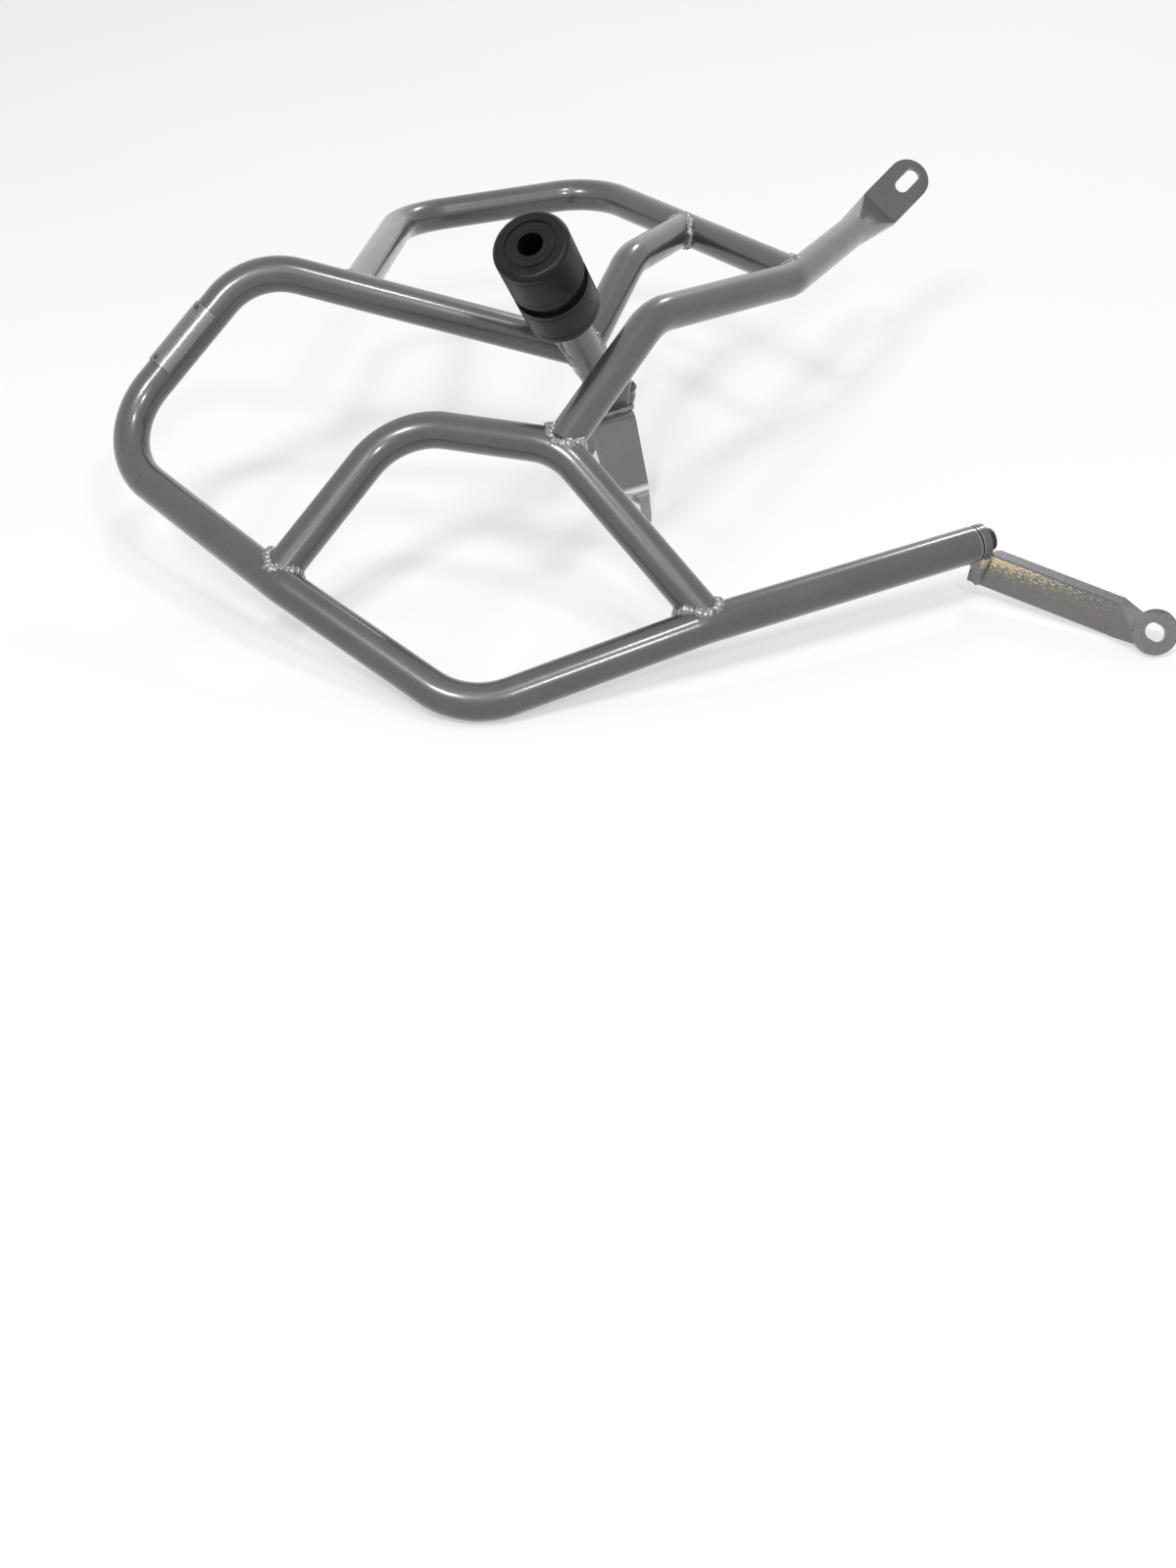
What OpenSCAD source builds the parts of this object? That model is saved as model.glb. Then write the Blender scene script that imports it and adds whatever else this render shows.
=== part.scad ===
// One side frame of a pair of motorcycle crash bars.
// Millimetres, +Z up. The frame lies as it rests on a floor at Z = 0.
// X runs along the long loop tube, and Y runs towards the upper hoop.

/* [Tubes] */
// Outer diameter of the long loop tube
loop_od = 25.4; // [24:0.1:27]
// Outer diameter of the tubes that are welded to it
branch_od = 25; // [20:0.5:25.2]
// Wall of every tube
tube_wall = 2.5; // [1.5:0.25:3.5]
// Bend radius of the loop tube, on its centre line
loop_bend_r = 54; // [46:2:66]
// Bend radius of the mid, arm, hoop and link tubes
branch_bend_r = 50; // [44:2:60]

/* [Loop tube corners] */
// Lower end, at the lower bracket
loop_end = [232, -147, 47]; // [-400:1:400]
// Slight bend where the mid tube leaves
loop_low_bend = [44, -232, 38]; // [-400:1:400]
// Lowest corner, which rests on the floor
loop_floor_bend = [-109, -286, 9]; // [-400:0.5:400]
// Slight bend where the mid tube returns
loop_side_bend = [-233, -204, 56]; // [-400:1:400]
// Outer corner
loop_outer_bend = [-373, -68, 89]; // [-400:1:400]
// Top corner
loop_top_bend = [-266, 10, 190]; // [-400:1:400]

/* [Mid tube corners] */
// Corner nearest to the outer end of the mid tube
mid_outer_bend = [-159, -107, 123]; // [-400:1:400]
// Corner that the arm tube leaves from
mid_inner_bend = [-48, -147, 125]; // [-400:1:400]
// Distance of the mid tube's ends past the loop tube's slight bends
mid_end_past = 7; // [4:0.5:12]

/* [Arm, hoop and link tube corners] */
// First corner of the arm tube
arm_low_bend = [16, -49, 173]; // [-400:1:400]
// Second corner of the arm tube
arm_high_bend = [122, 71, 148]; // [-400:1:400]
// Point where the arm tube starts to flatten
arm_flat_start = [182, 195, 137]; // [-400:1:400]
// Where the hoop tube leaves the loop tube, along its top run
hoop_start_share = 0.305; // [0.28:0.005:0.4]
// Outer corner of the hoop tube
hoop_outer_bend = [-182, 236, 136]; // [-400:1:400]
// Inner corner of the hoop tube
hoop_inner_bend = [-23, 287, 140]; // [-400:1:400]
// Distance past the arm tube's second corner at which the hoop tube ends
hoop_end_past = 13; // [5:1:40]
// Where the link tube leaves the hoop tube, along its inner run
link_start_share = 0.473; // [0.4:0.005:0.55]
// Corner of the link tube
link_bend = [3, 93, 157]; // [-400:1:400]

/* [Arm end] */
// Width of the flattened end
tab_w = 35; // [31:1:38]
// Thickness of the flattened end
tab_t = 5; // [4:0.5:8]
// Length over which the tube flattens
tab_taper = 67; // [50:1:75]
// Length of the flat, from the end of the taper to the middle of its round end
tab_flat = 38; // [30:1:50]
// Angle at which the flat is bent up out of the tube's line
tab_bend = 38; // [0:1:45]
// Turn of the flat about the tube's axis
tab_roll = -35; // [-60:5:0]
// Width of the slot in the flat
tab_slot_w = 11.5; // [8:0.5:14]
// Distance between the middles of the slot's two round ends
tab_slot_travel = 14.5; // [4:0.5:18]
// Distance of the slot's middle from the middle of the round end
tab_slot_back = 1; // [0:0.5:8]

/* [Post] */
// Top of the post, under the slider
post_top = [-43, -19, 159]; // [-400:1:400]
// Angle between the post and the vertical
post_tilt = 36.5; // [32:0.5:40]
// Direction in which the post's foot leans, from the X axis
post_heading = 64.6; // [60:0.2:70]
// Outer diameter of the post
post_od = 27; // [26:0.5:30]
// Distance from the post's top down to the joint of the loop and link tubes
post_joint = 42.5; // [38:0.5:50]
// Length of the post that stays round
post_round = 58; // [57:1:62]
// Distance from the post's top to where it is pressed flat
waist_down = 78; // [74:1:86]
// Thickness of the pressed part
waist_t = 10; // [8:0.5:14]
// Width of the pressed part
waist_w = 37; // [32:1:40]
// How far the pressed part's middle lies in front of the post's axis
waist_front = 7.5; // [0:0.5:9]
// How far the pressed part's middle lies to the side of the post's axis
waist_side = 7; // [0:0.5:8]
// Thickness of the foot where it stands on the bracket
foot_t = 15; // [12:0.5:20]
// Width of the foot
foot_w = 40; // [36:1:42]
// How far the foot's middle lies to the side of the bracket's middle
foot_side = 2; // [0:0.5:4]

/* [Slider] */
// Diameter of the slider's body
slider_d = 54; // [50:1:58]
// Length of the slider from its face to the ring on the post
slider_len = 90; // [84:1:98]
// Where the waist groove starts, along the slider's body
slider_waist_at = 0.42; // [0.3:0.01:0.6]
// Diameter of the slider's waist groove
slider_waist_d = 48; // [44:1:49]
// Width of the slider's waist groove
slider_waist_w = 10; // [6:1:14]
// Diameter of the slider's neck
slider_neck_d = 31; // [29:1:36]
// Length of the slider's neck
slider_neck_len = 9; // [6:1:12]
// Radius of the slider's rounded edges
slider_edge_r = 4; // [2:0.5:6]
// Diameter of the bore for the screw's head
slider_bore_d = 18; // [17:0.5:20]
// Depth of the bore for the screw's head
slider_bore_depth = 60; // [40:1:66]
// Diameter of the hole for the screw's shank
slider_hole_d = 8.6; // [8.4:0.1:9]
// Diameter of the screw's shank
slider_bolt_d = 8; // [7:0.5:8]
// Diameter of the raised ring on the slider's face
slider_ring_d = 34; // [30:1:38]
// Thickness of the metal ring under the neck
neck_ring_t = 1.2; // [0.8:0.1:2]

/* [Base bracket] */
// Middle of the bracket's top, where the foot stands
bracket_seat = [-18, 34, 62]; // [-400:1:400]
// Direction of the bracket's width, from the X axis
bracket_heading = 29.4; // [25:0.2:35]
// Thickness of the folded strip
bracket_t = 5; // [4:0.5:6]
// Width of the strip at the top
bracket_w = 38; // [36:1:44]
// Width of the strip at the fork
fork_w = 31; // [28:0.5:36]
// Depth of the flat top
bracket_depth = 24; // [22:1:30]
// Bend radius inside the strip's folds
bracket_bend_r = 7; // [4:0.5:9]
// Distance from the seat forward to the fork's fold
fork_fold_out = 41; // [38:1:46]
// Drop from the seat to the fork's fold
fork_fold_drop = 53; // [48:1:54]
// Distance from the seat forward to the fork's tip
fork_tip_out = 68; // [62:1:74]
// Shift of the fork's tip to the side
fork_skew = 14; // [6:1:16]
// Width of the slot between the fork's prongs
fork_slot_w = 12; // [9:0.5:13]
// Distance from the seat back to the rear leg's foot
rear_foot_out = 52; // [40:1:60]
// Width of the rear leg at its foot
rear_foot_w = 30; // [24:1:36]

/* [Rear lug and strut] */
// Length of the rear lug
rear_lug_len = 26; // [22:1:32]
// Width of the rear lug
rear_lug_w = 22; // [20:1:28]
// Thickness of the rear lug
rear_lug_t = 4; // [3:0.5:6]
// Angle at which the rear lug rises from the bracket's top
rear_lug_rise = 25; // [10:5:45]
// Shift of the rear lug along the bracket's width
rear_lug_offset = 8; // [-6:1:9]
// Diameter of the hole in the rear lug
rear_hole_d = 8.5; // [6.5:0.1:10.5]
// Distance of that hole from the lug's root
rear_hole_at = 14; // [12:0.5:16]
// Diameter of the brace strut
strut_d = 6; // [5:0.5:9]
// Distance of the strut's top end along the link tube, from the post
strut_up_link = 31; // [28:1:40]

/* [Lower bracket] */
// Thickness of the lower bracket's plate
lower_t = 4.5; // [3:0.5:6]
// Radius of the lug's round top
lug_r = 12.5; // [11:0.5:18]
// Width of the lug's tip
lug_tip_w = 5; // [3:0.5:8]
// Drop from the tube's centre to the lug's tip
lug_drop = 33; // [28:1:36]
// Thickness of each washer between the tube and the lug
spacer_t = 2; // [1.5:0.25:3]
// Gap between the two washers
spacer_gap = 1; // [0.6:0.1:1.5]
// Middle of the eye at the bracket's far end
eye_at = [348, -209, 14.5]; // [-400:0.5:400]
// Radius of the eye
eye_r = 15.5; // [14:0.5:17]
// Width of the eye's slot
eye_slot_w = 11.5; // [8:0.5:13]
// Distance between the slot's two round ends
eye_slot_travel = 3; // [1:0.5:5]
// Turn of the eye's slot
eye_slot_turn = -25; // [-90:5:90]
// Height of the bracket's web
web_h = 27; // [22:1:30]
// Depth of the flange along the web's top
flange_depth = 9; // [6:1:16]
// Length of the web
web_len = 105; // [80:1:110]
// Drop from the tube's centre to the middle of the web's start
web_drop = 19.5; // [17:0.5:22]
// Shift of the web's start towards the front
web_side = 6; // [4:0.5:8]
// Width of the neck between the web and the eye
neck_w = 22; // [18:1:23]
// Distance from the eye's middle to the neck's end
neck_at = 9.5; // [8.5:0.5:12]
// Height of the neck's middle over the eye's middle
neck_up = 1; // [0:0.5:1.5]
// Height of the eye's middle over the web's middle line
eye_lift = 1; // [0:0.5:3]
// Angle between the eye's face and the floor
eye_lean = 58.5; // [50:0.5:75]
// Diameter of the screw through the lug
lower_bolt_d = 8; // [6:0.5:10]

/* [Name plate] */
// Length of the plate along the tube
plate_len = 52; // [40:1:60]
// Width of the plate round the tube
plate_w = 30; // [20:1:34]
// Thickness of the plate
plate_t = 1; // [0.8:0.1:1.5]
// Where the plate's middle is, along the tube's outer run
plate_share = 0.57; // [0.45:0.01:0.62]
// Angle of the plate's middle from the top of the tube, towards the front
plate_angle = 4; // [-30:1:30]
// Diameter of the plate's rivets
rivet_d = 3.5; // [3:0.5:4.5]

/* [Hidden] */
$fn = 48;
steel = [0.42, 0.43, 0.44];
bright_steel = [0.62, 0.63, 0.64];
black_plastic = [0.07, 0.07, 0.08];
black_steel = [0.10, 0.10, 0.11];
// Overlap that keeps a cut clear of the faces that it passes through
past = 1;
// Clearance between a pin or plug and its hole, on the radius
fit = 0.15;
// How much thinner a straight run is than the bend that it runs into, on the diameter
blend_step = 0.1;
// Length of a straight run inside the bend beside it
bend_lap = 1;
// Facets of the rounded blends
blend_fn = 32;
// Sizes of screws and washers, as multiples of the shank's diameter
cap_wide = 1.6;
cap_high = 1;
button_wide = 1.9;
button_high = 0.6;
socket_wide = 0.75;
washer_wide = 2.1;
head_relief = 2.4;

// Vectors and points

function unit(v) = v / norm(v);
function between(a, b, share) = a + (b - a) * share;
function step_to(a, b, distance) = a + unit(b - a) * distance;
function turn(a, b, c) = acos(unit(b - a) * unit(c - b));
function tangent(a, b, c, r) = r * tan(turn(a, b, c) / 2);
function heading(angle) = [cos(angle), sin(angle), 0];

// The part of vector v that is square to axis
function square_to(v, axis) = unit(v - axis * (v * axis));

post_down = [sin(post_tilt) * cos(post_heading), sin(post_tilt) * sin(post_heading),
  -cos(post_tilt)];
joint_at = post_top + post_down * post_joint;
loop_route = [loop_end, loop_low_bend, loop_floor_bend, loop_side_bend, loop_outer_bend,
  loop_top_bend, joint_at];
mid_start = step_to(loop_low_bend, loop_end, mid_end_past);
mid_end = step_to(loop_side_bend, loop_outer_bend, mid_end_past);
mid_route = [mid_start, mid_inner_bend, mid_outer_bend, mid_end];
arm_route = [mid_inner_bend, arm_low_bend, arm_high_bend, arm_flat_start];
hoop_route = [between(loop_top_bend, joint_at, hoop_start_share), hoop_outer_bend,
  hoop_inner_bend, step_to(arm_high_bend, arm_flat_start, hoop_end_past)];
link_route = [between(hoop_inner_bend, hoop_route[3], link_start_share), link_bend, joint_at];

// Placing

// Puts the children's Z axis along z and their Y axis along y, at point o
module frame(o, y, z) {
  x = cross(y, z);
  multmatrix([[x[0], y[0], z[0], o[0]], [x[1], y[1], z[1], o[1]], [x[2], y[2], z[2], o[2]],
    [0, 0, 0, 1]])
    children();
}

// Stands the children on point a, with their Z axis towards b
module aim(a, b, side = [0, 0, 1]) {
  z = unit(b - a);
  frame(a, square_to(side, z), z) children();
}

// Direction of the straight run that leaves corner i
function run_dir(route, i) = unit(route[i + 1] - route[i]);

// Axis of the bend at corner i
function bend_axis(route, i) = unit(cross(run_dir(route, i - 1), run_dir(route, i)));

// Angle about run i from the last bend's centre to the next bend's centre
function bend_roll(route, i) = let (
    z = run_dir(route, i),
    x = cross(bend_axis(route, i), z),
    centre = cross(bend_axis(route, i + 1), z)
  ) atan2(cross(x, centre) * z, x * centre);

// Length that the bend at corner i takes off each run beside it
function trimmed(route, i, r) = i == 0 || i == len(route) - 1 ? 0
  : tangent(route[i - 1], route[i], route[i + 1], r);

// Run i of the route and all that follows it, along the Z axis, with the next bend towards X
module runs(route, i, r, d) {
  length = norm(route[i + 1] - route[i]) - trimmed(route, i, r) - trimmed(route, i + 1, r);
  last = i == len(route) - 2;
  start = i == 0 ? 0 : bend_lap;
  end = last ? 0 : bend_lap;
  translate([0, 0, -start]) cylinder(d = d - blend_step, h = start + length + end);
  if (!last) {
    angle = turn(route[i], route[i + 1], route[i + 2]);
    roll = i + 1 < len(route) - 2 ? bend_roll(route, i + 1) : 0;
    translate([0, 0, length]) {
      multmatrix([[-1, 0, 0, r], [0, 0, 1, 0], [0, 1, 0, 0], [0, 0, 0, 1]])
        rotate_extrude(angle = angle) translate([r, 0]) circle(d = d);
      translate([r, 0, 0]) rotate([0, angle, 0]) translate([-r, 0, 0])
        rotate(roll) runs(route, i + 1, r, d);
    }
  }
}

// A round bar of diameter d along a route of straight runs and round bends
module bent_bar(route, r, d) {
  frame(route[0], bend_axis(route, 1), run_dir(route, 0)) runs(route, 0, r, d);
}

// A route with both its ends lengthened
function longer(route, start, end) = [
  for (i = [0 : len(route) - 1])
    i == 0 ? step_to(route[0], route[1], -start)
    : i == len(route) - 1 ? step_to(route[i], route[i - 1], -end)
    : route[i]
];

module tube(route, od, r, start = 0, end = 0) {
  difference() {
    bent_bar(route, r, od);
    bent_bar(longer(route, start, end), r, od - 2 * tube_wall);
  }
}

module loop_outer() bent_bar(loop_route, loop_bend_r, loop_od);
module mid_outer() bent_bar(mid_route, branch_bend_r, branch_od);
module arm_outer() bent_bar(arm_route, branch_bend_r, branch_od);
module hoop_outer() bent_bar(hoop_route, branch_bend_r, branch_od);
module post_outer() aim(post_top, joint_at) cylinder(d = post_od, h = post_round);

// Welded frame

module loop_tube() {
  color(steel) difference() {
    tube(loop_route, loop_od, loop_bend_r, past, 0);
    post_outer();
  }
}

module mid_tube() {
  color(steel) difference() {
    tube(mid_route, branch_od, branch_bend_r);
    loop_outer();
  }
}

tab_dir = unit(arm_flat_start - arm_high_bend);
tab_plane = square_to([0, 0, 1], tab_dir);
// Width direction of the flattened end
tab_across = cross(tab_dir, tab_plane) * cos(tab_roll) + tab_plane * sin(tab_roll);
// Direction in which the flat runs on past the taper
tab_out = tab_dir * cos(tab_bend) + cross(tab_across, tab_dir) * sin(tab_bend);
tab_root = arm_flat_start + tab_dir * tab_taper;

// The part of the arm tube that is pressed from round to flat
module arm_taper() {
  hull() {
    aim(arm_flat_start - tab_dir * 2 * past, tab_root)
      cylinder(d = branch_od + blend_step, h = 3 * past, $fn = blend_fn);
    at_tab() translate([0, past, 0])
      cube([tab_w - 2 * blend_step, past, tab_t - 2 * blend_step], center = true);
  }
}

// Places the children at the flat's root, with Y along the flat and Z off its face
module at_tab() frame(tab_root, tab_out, cross(tab_across, tab_out)) children();

module arm_flat() {
  at_tab() linear_extrude(tab_t, center = true) difference() {
    union() {
      translate([-tab_w / 2, 0]) square([tab_w, tab_flat]);
      translate([0, tab_flat]) circle(d = tab_w);
    }
    translate([0, tab_flat - tab_slot_back]) rotate(90) slot(tab_slot_w, tab_slot_travel);
  }
}

// A slot along X, with round ends
module slot(w, travel) {
  square([travel, w], center = true);
  for (side = [-1, 1]) translate([side * travel / 2, 0]) circle(d = w);
}

module arm_tube() {
  color(steel) {
    difference() {
      tube(arm_route, branch_od, branch_bend_r);
      mid_outer();
    }
    arm_taper();
    arm_flat();
  }
}

module hoop_tube() {
  color(steel) difference() {
    tube(hoop_route, branch_od, branch_bend_r);
    loop_outer();
    arm_outer();
  }
}

module link_tube() {
  color(steel) difference() {
    tube(link_route, branch_od, branch_bend_r);
    hoop_outer();
    loop_outer();
    post_outer();
  }
}

// The bracket's own frame: X across the bracket, Z up, at the seat
module at_seat() translate(bracket_seat) rotate(bracket_heading) children();

// A thin flat oval across the post, at a distance down from its top
module post_section(distance, width, thickness, side, front) {
  across = square_to(heading(bracket_heading), post_down);
  frame(post_top + post_down * distance, cross(post_down, across), post_down)
    translate([side, front]) oval_section(width, thickness);
}

module oval_section(width, thickness) {
  slice = 0.5;
  linear_extrude(slice) hull() for (side = [-1, 1])
    translate([side * (width - thickness) / 2, 0]) circle(d = thickness, $fn = blend_fn);
}

// The post's pressed end: round to flat, and flat to foot
module post_foot() {
  hull() {
    aim(post_top, joint_at) translate([0, 0, post_round - past])
      cylinder(d = post_od + 2 * blend_step, h = 2 * past, $fn = blend_fn);
    post_section(waist_down, waist_w, waist_t, waist_side, waist_front);
  }
  hull() {
    post_section(waist_down - past, waist_w + 4 * blend_step, waist_t + 4 * blend_step,
      waist_side, waist_front);
    at_seat() translate([foot_side, 0]) oval_section(foot_w, foot_t);
  }
}

module post_tube() {
  color(steel) difference() {
    union() {
      post_outer();
      post_foot();
    }
    aim(post_top, joint_at)
      translate([0, 0, -past]) cylinder(d = post_od - 2 * tube_wall, h = post_round + past);
  }
}

// The fork's prongs lean to the side by this angle
fork_lean = atan2(fork_skew, fork_tip_out - fork_fold_out);
// Distance from the seat forward to the end of the longer prong
fork_end_out = fork_tip_out + fork_w / 2 * sin(fork_lean);
// Clearance of the longer prong's end over the floor
fork_clear = 0.5;
fork_slope = (bracket_seat[2] - bracket_t - fork_fold_drop - fork_clear)
  / (fork_end_out - fork_fold_out);

// The strip's middle line, as distance back from the seat and height over it
strip_route = [
  [-fork_end_out - past, -fork_fold_drop - bracket_t / 2
    - (fork_end_out + past - fork_fold_out) * fork_slope],
  [-fork_fold_out, -fork_fold_drop - bracket_t / 2],
  [-bracket_depth / 2, -bracket_t / 2],
  [bracket_depth / 2, -bracket_t / 2],
  [rear_foot_out, -bracket_seat[2] - bracket_t]
];
bend_steps = 8;

function turned(v, angle) = [v[0] * cos(angle) - v[1] * sin(angle),
  v[0] * sin(angle) + v[1] * cos(angle)];

// Turn at corner i of a flat route, to the left
function left_turn(route, i) = let (
    into = route[i] - route[i - 1],
    out = route[i + 1] - route[i]
  ) atan2(into[0] * out[1] - into[1] * out[0], into * out);

// Points at a distance to the left of a flat route with round bends
function beside(route, r, left) = [
  route[0] + turned(unit(route[1] - route[0]), 90) * left,
  for (i = [1 : len(route) - 2], step = [0 : bend_steps]) let (
      angle = left_turn(route, i),
      way = angle > 0 ? 1 : -1,
      into = unit(route[i] - route[i - 1]),
      centre = route[i] - into * r * tan(abs(angle) / 2) + turned(into, 90) * way * r
    ) centre + turned(turned(into, -90), angle * step / bend_steps) * (way * r - left),
  route[len(route) - 1] + turned(unit(route[len(route) - 1] - route[len(route) - 2]), 90) * left
];

function backwards(list) = [for (i = [1 : len(list)]) list[len(list) - i]];

module folded_strip() {
  r = bracket_bend_r + bracket_t / 2;
  rotate([90, 0, 90]) linear_extrude(2 * bracket_w, center = true)
    polygon(concat(beside(strip_route, r, bracket_t / 2),
      backwards(beside(strip_route, r, -bracket_t / 2))));
}

fork_across = fork_w * cos(fork_lean) - 2 * blend_step;
prong_w = (fork_across - fork_slot_w) / 2;
prong_len = (fork_tip_out - fork_fold_out - prong_w / 2) / cos(fork_lean);

// The fork beyond its fold, seen from above, with both prongs leaning to one side
module fork_outline() {
  intersection() {
    translate([0, -fork_fold_out]) rotate(-fork_lean) {
      difference() {
        translate([-fork_across / 2, -prong_len]) square([fork_across, 2 * prong_len]);
        translate([0, -fork_slot_w / 2 - past]) circle(d = fork_slot_w);
        translate([-fork_slot_w / 2, -fork_tip_out])
          square([fork_slot_w, fork_tip_out - fork_slot_w / 2 - past]);
      }
      for (side = [-1, 1]) translate([side * (fork_slot_w + prong_w) / 2, -prong_len])
        circle(d = prong_w);
    }
    translate([-bracket_w, -2 * fork_tip_out])
      square([2 * bracket_w, 2 * fork_tip_out - fork_fold_out + blend_step / 2]);
  }
}

module strip_outline() {
  front = bracket_depth / 2;
  polygon([[-bracket_w / 2, -front], [-fork_w / 2, -fork_fold_out], [fork_w / 2, -fork_fold_out],
    [bracket_w / 2, -front], [bracket_w / 2, front], [rear_foot_w / 2, rear_foot_out],
    [-rear_foot_w / 2, rear_foot_out], [-bracket_w / 2, front]]);
  fork_outline();
}

module base_bracket() {
  color(steel) at_seat() intersection() {
    folded_strip();
    translate([0, 0, -bracket_seat[2]]) linear_extrude(2 * bracket_seat[2]) strip_outline();
  }
}

// The rear lug's directions, along it and off its face, and the point where it leaves the bracket
bracket_across = heading(bracket_heading);
bracket_back = heading(bracket_heading + 90);
lug_along = bracket_back * cos(rear_lug_rise) + [0, 0, sin(rear_lug_rise)];
lug_up = cross(bracket_across, lug_along);
lug_origin = bracket_seat + bracket_across * rear_lug_offset
  + bracket_back * bracket_depth / 2 - [0, 0, bracket_t / 2];
lug_root = bracket_t / 2 + past;

module at_lug(distance) frame(lug_origin + lug_along * distance, lug_along, lug_up) children();

module rear_lug() {
  shoulder = 0.6 * rear_lug_len;
  color(steel) at_lug(lug_root) difference() {
    linear_extrude(rear_lug_t) polygon([[-rear_lug_w / 2, 0], [rear_lug_w / 2, 0],
      [rear_lug_w / 2, shoulder], [rear_lug_w / 4, rear_lug_len],
      [-rear_lug_w / 4, rear_lug_len], [-rear_lug_w / 2, shoulder]]);
    translate([0, rear_hole_at, -past]) cylinder(d = rear_hole_d, h = rear_lug_t + 2 * past);
  }
}

// The strut stands on the lug's face and is cut to fit under the link tube
module brace_strut() {
  top = step_to(joint_at, link_bend, strut_up_link);
  foot = lug_origin + lug_along * (lug_root + strut_d) + lug_up * rear_lug_t
    + bracket_across * (rear_lug_w - strut_d) / 2;
  below = 2 * rear_lug_len;
  color(steel) difference() {
    aim(foot, top) translate([0, 0, -strut_d]) cylinder(d = strut_d, h = norm(top - foot) + strut_d);
    bent_bar(link_route, branch_bend_r, branch_od);
    at_lug(0) translate([0, 0, rear_lug_t - below / 2]) cube(below, center = true);
  }
}

plug_len = 22;

module post_end_plug() {
  color(steel) aim(post_top, joint_at) difference() {
    cylinder(d = post_od - 2 * tube_wall, h = plug_len);
    translate([0, 0, -past]) cylinder(d = slider_bolt_d + 2 * fit, h = plug_len + 2 * past);
  }
}

module loop_end_plug() {
  color(steel) aim(loop_end, loop_low_bend) difference() {
    cylinder(d = loop_od - 2 * tube_wall - blend_step, h = plug_len);
    translate([0, 0, -past]) cylinder(d = lower_bolt_d + 2 * fit, h = plug_len + 2 * past);
  }
}

// Slider

// Places the children with Z out of the post's top, along the slider
module on_post() aim(post_top, post_top - post_down) children();

module slider_profile() {
  body = slider_len - slider_neck_len;
  waist = slider_neck_len + body * slider_waist_at;
  difference() {
    union() {
      translate([0, 0]) square([slider_neck_d / 2, slider_neck_len + past]);
      translate([0, slider_neck_len]) square([slider_d / 2 - slider_edge_r, body]);
      translate([0, slider_neck_len + slider_edge_r])
        square([slider_d / 2, body - 2 * slider_edge_r]);
      for (y = [slider_neck_len + slider_edge_r, slider_len - slider_edge_r])
        translate([slider_d / 2 - slider_edge_r, y]) circle(r = slider_edge_r);
    }
    translate([slider_waist_d / 2, waist]) square([slider_d, slider_waist_w]);
    for (y = [slider_neck_len + 2 * slider_edge_r, waist - slider_edge_r,
        waist + slider_waist_w + slider_edge_r, slider_len - 2 * slider_edge_r])
      translate([slider_d / 2, y]) circle(d = 1);
  }
}

module slider_puck() {
  lip = 1.5;
  color(black_plastic) on_post() translate([0, 0, neck_ring_t]) difference() {
    rotate_extrude($fn = 72) slider_profile();
    translate([0, 0, -past]) cylinder(d = slider_hole_d, h = slider_len + 2 * past);
    translate([0, 0, slider_len - slider_bore_depth])
      cylinder(d = slider_bore_d, h = slider_bore_depth + past);
    translate([0, 0, slider_len - lip / 2]) difference() {
      cylinder(d = slider_ring_d + 2 * lip, h = lip);
      cylinder(d = slider_ring_d, h = lip);
    }
  }
}

module slider_ring() {
  color(bright_steel) on_post() difference() {
    cylinder(d = slider_neck_d, h = neck_ring_t);
    translate([0, 0, -past]) cylinder(d = slider_hole_d, h = neck_ring_t + 2 * past);
  }
}

slider_seat = neck_ring_t + slider_len - slider_bore_depth;
slider_washer_t = 1.6;
washer_play = 1;

module slider_washer() {
  color(black_steel) on_post() translate([0, 0, slider_seat]) difference() {
    cylinder(d = slider_bore_d - washer_play, h = slider_washer_t);
    translate([0, 0, -past]) cylinder(d = slider_hole_d, h = slider_washer_t + 2 * past);
  }
}

// A cap screw with a hexagon socket, its head's underside at Z = 0
module cap_screw(d, head_d, head_h, shank) {
  socket = socket_wide * d;
  difference() {
    union() {
      cylinder(d = head_d, h = head_h);
      translate([0, 0, -shank]) cylinder(d = d, h = shank);
    }
    translate([0, 0, head_h / 2]) cylinder(d = socket, h = head_h, $fn = 6);
  }
}

module slider_bolt() {
  color(black_steel) on_post() translate([0, 0, slider_seat + slider_washer_t])
    cap_screw(slider_bolt_d, cap_wide * slider_bolt_d, cap_high * slider_bolt_d,
      slider_seat + slider_washer_t + plug_len);
}

// Lower bracket

out_dir = unit(loop_end - loop_low_bend);
out_up = square_to([0, 0, 1], out_dir);
lug_out = 2 * spacer_t + spacer_gap;
washer_d = loop_od - 1;

// Places the children on the tube's end: Z out of the tube, Y up, X away from the front
module on_end(distance) frame(loop_end + out_dir * distance, out_up, out_dir) children();

module spacer_washers() {
  color(bright_steel) for (z = [0, spacer_t + spacer_gap]) on_end(z) difference() {
    cylinder(d = washer_d, h = spacer_t);
    translate([0, 0, -past]) cylinder(d = lower_bolt_d + 2 * fit, h = spacer_t + 2 * past);
  }
}

module lug_outline() {
  circle(r = lug_r);
  polygon([[-lug_r, 0], [-lug_tip_w / 2, -lug_drop], [lug_tip_w / 2, -lug_drop], [lug_r, 0]]);
}

web_start = loop_end + out_dir * (lug_out + lower_t / 2) - [0, 0, web_drop]
  + cross(out_up, out_dir) * web_side;
web_dir = unit(eye_at - [0, 0, eye_lift] - web_start);
web_up = square_to([0, 0, 1], web_dir);
eye_face = [0, -sin(eye_lean), cos(eye_lean)];
eye_up = square_to(web_up, eye_face);

module on_web(distance) frame(web_start + web_dir * distance, web_up, web_dir) children();
module on_eye() frame(eye_at, eye_up, eye_face) children();

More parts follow.
